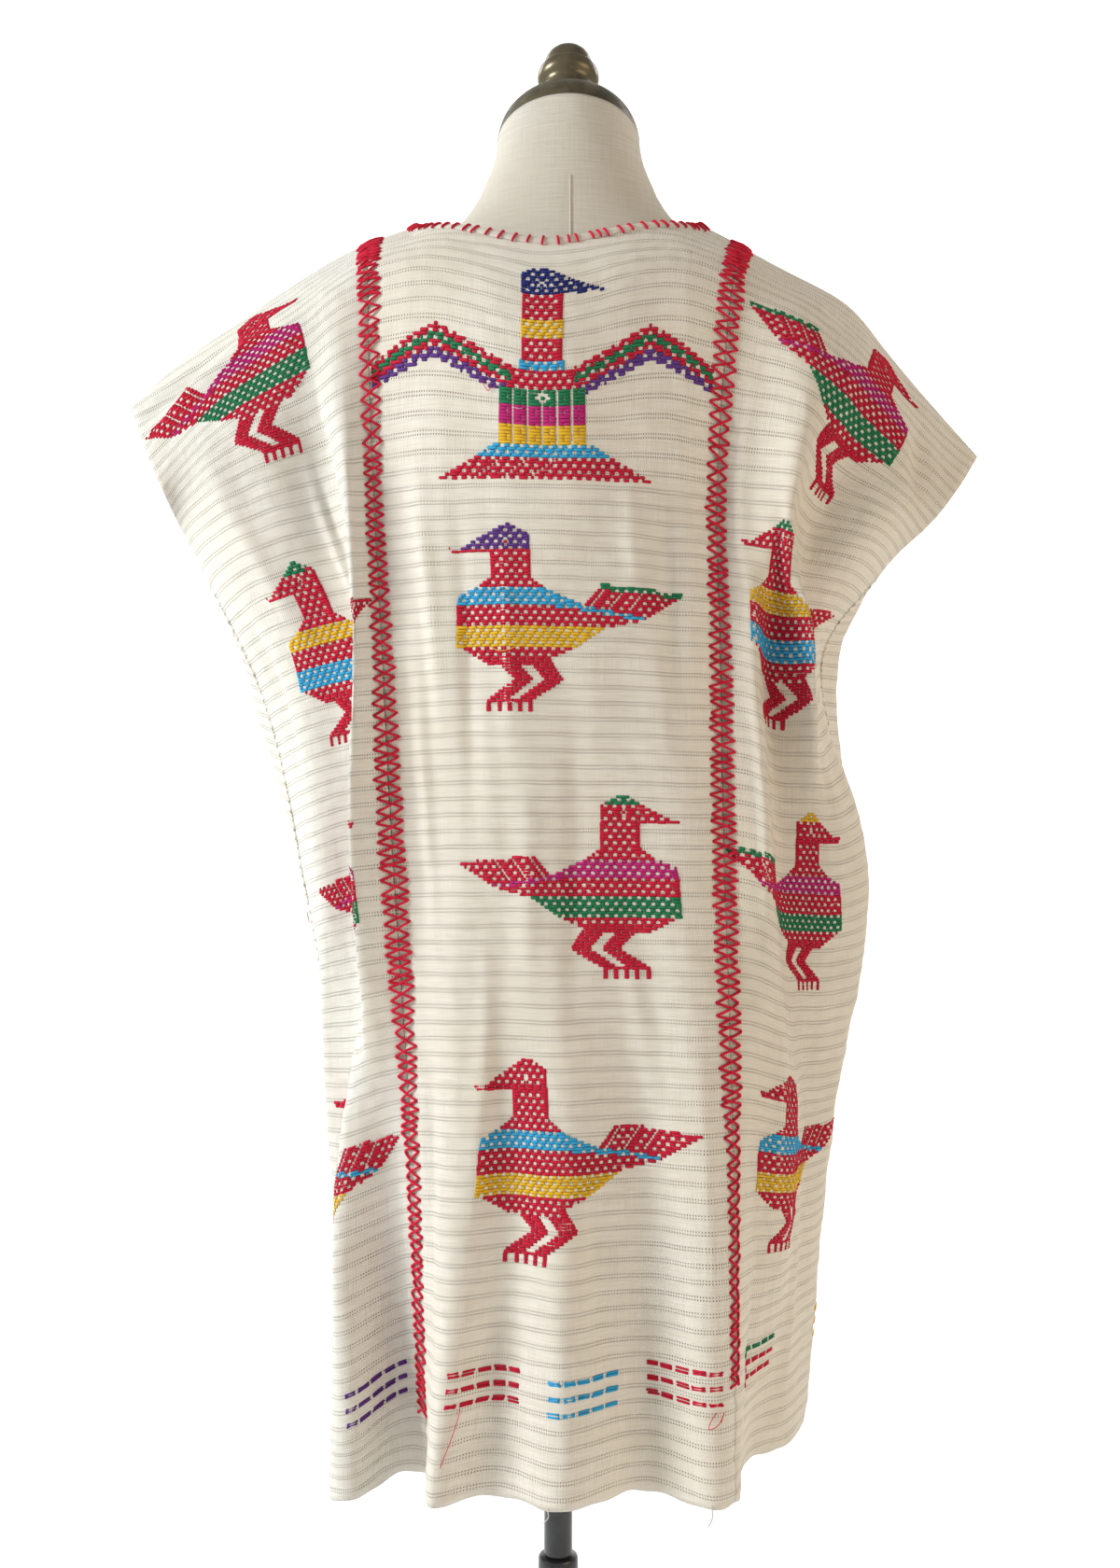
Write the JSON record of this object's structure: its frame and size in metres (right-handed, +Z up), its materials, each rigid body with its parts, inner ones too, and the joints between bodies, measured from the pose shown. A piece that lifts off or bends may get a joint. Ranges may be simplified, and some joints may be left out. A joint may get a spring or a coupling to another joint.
{
  "type": "huipil blouse on a dress form",
  "caption": "Sleeveless handwoven blouse of webs sewn side by side, worn by a padded limbless dress form on a round stand.",
  "frame": {"origin": "on the floor, on the underside of the round base, below the middle of the form's neck", "axes": "+Z up; the blouse's back, with the high neck edge, faces -Y; its left side from behind is -X"},
  "size_m": [0.6623, 0.3799, 1.5122],
  "materials": {
    "centre_web_cotton": "handwoven cream cotton, plain weave with openwork rows and brocade",
    "left_web_cotton": "handwoven cream cotton, plain weave with openwork rows and brocade",
    "right_web_cotton": "handwoven cream cotton, plain weave with openwork rows and brocade",
    "neck_binding_cotton": "folded cream cotton edge whipped with red thread",
    "form_linen": "off-white linen cover over padding",
    "bronze_cap": "antique bronze, satin gloss",
    "bronze_knob": "antique bronze, satin gloss",
    "black_pole": "black, semi-gloss",
    "black_collar": "black, semi-gloss",
    "black_tube": "black, semi-gloss",
    "black_base": "black paint, satin"
  },
  "bodies": {
    "root": {"centre_panel": "centre_web_cotton", "left_panel": "left_web_cotton", "right_panel": "right_web_cotton", "neck_binding": "neck_binding_cotton", "form_body": "form_linen", "neck_cap": "bronze_cap", "neck_finial": "bronze_knob", "pole": "black_pole", "pole_collar": "black_collar", "pole_tube": "black_tube", "stand_base": "black_base"}
  },
  "joints": []
}
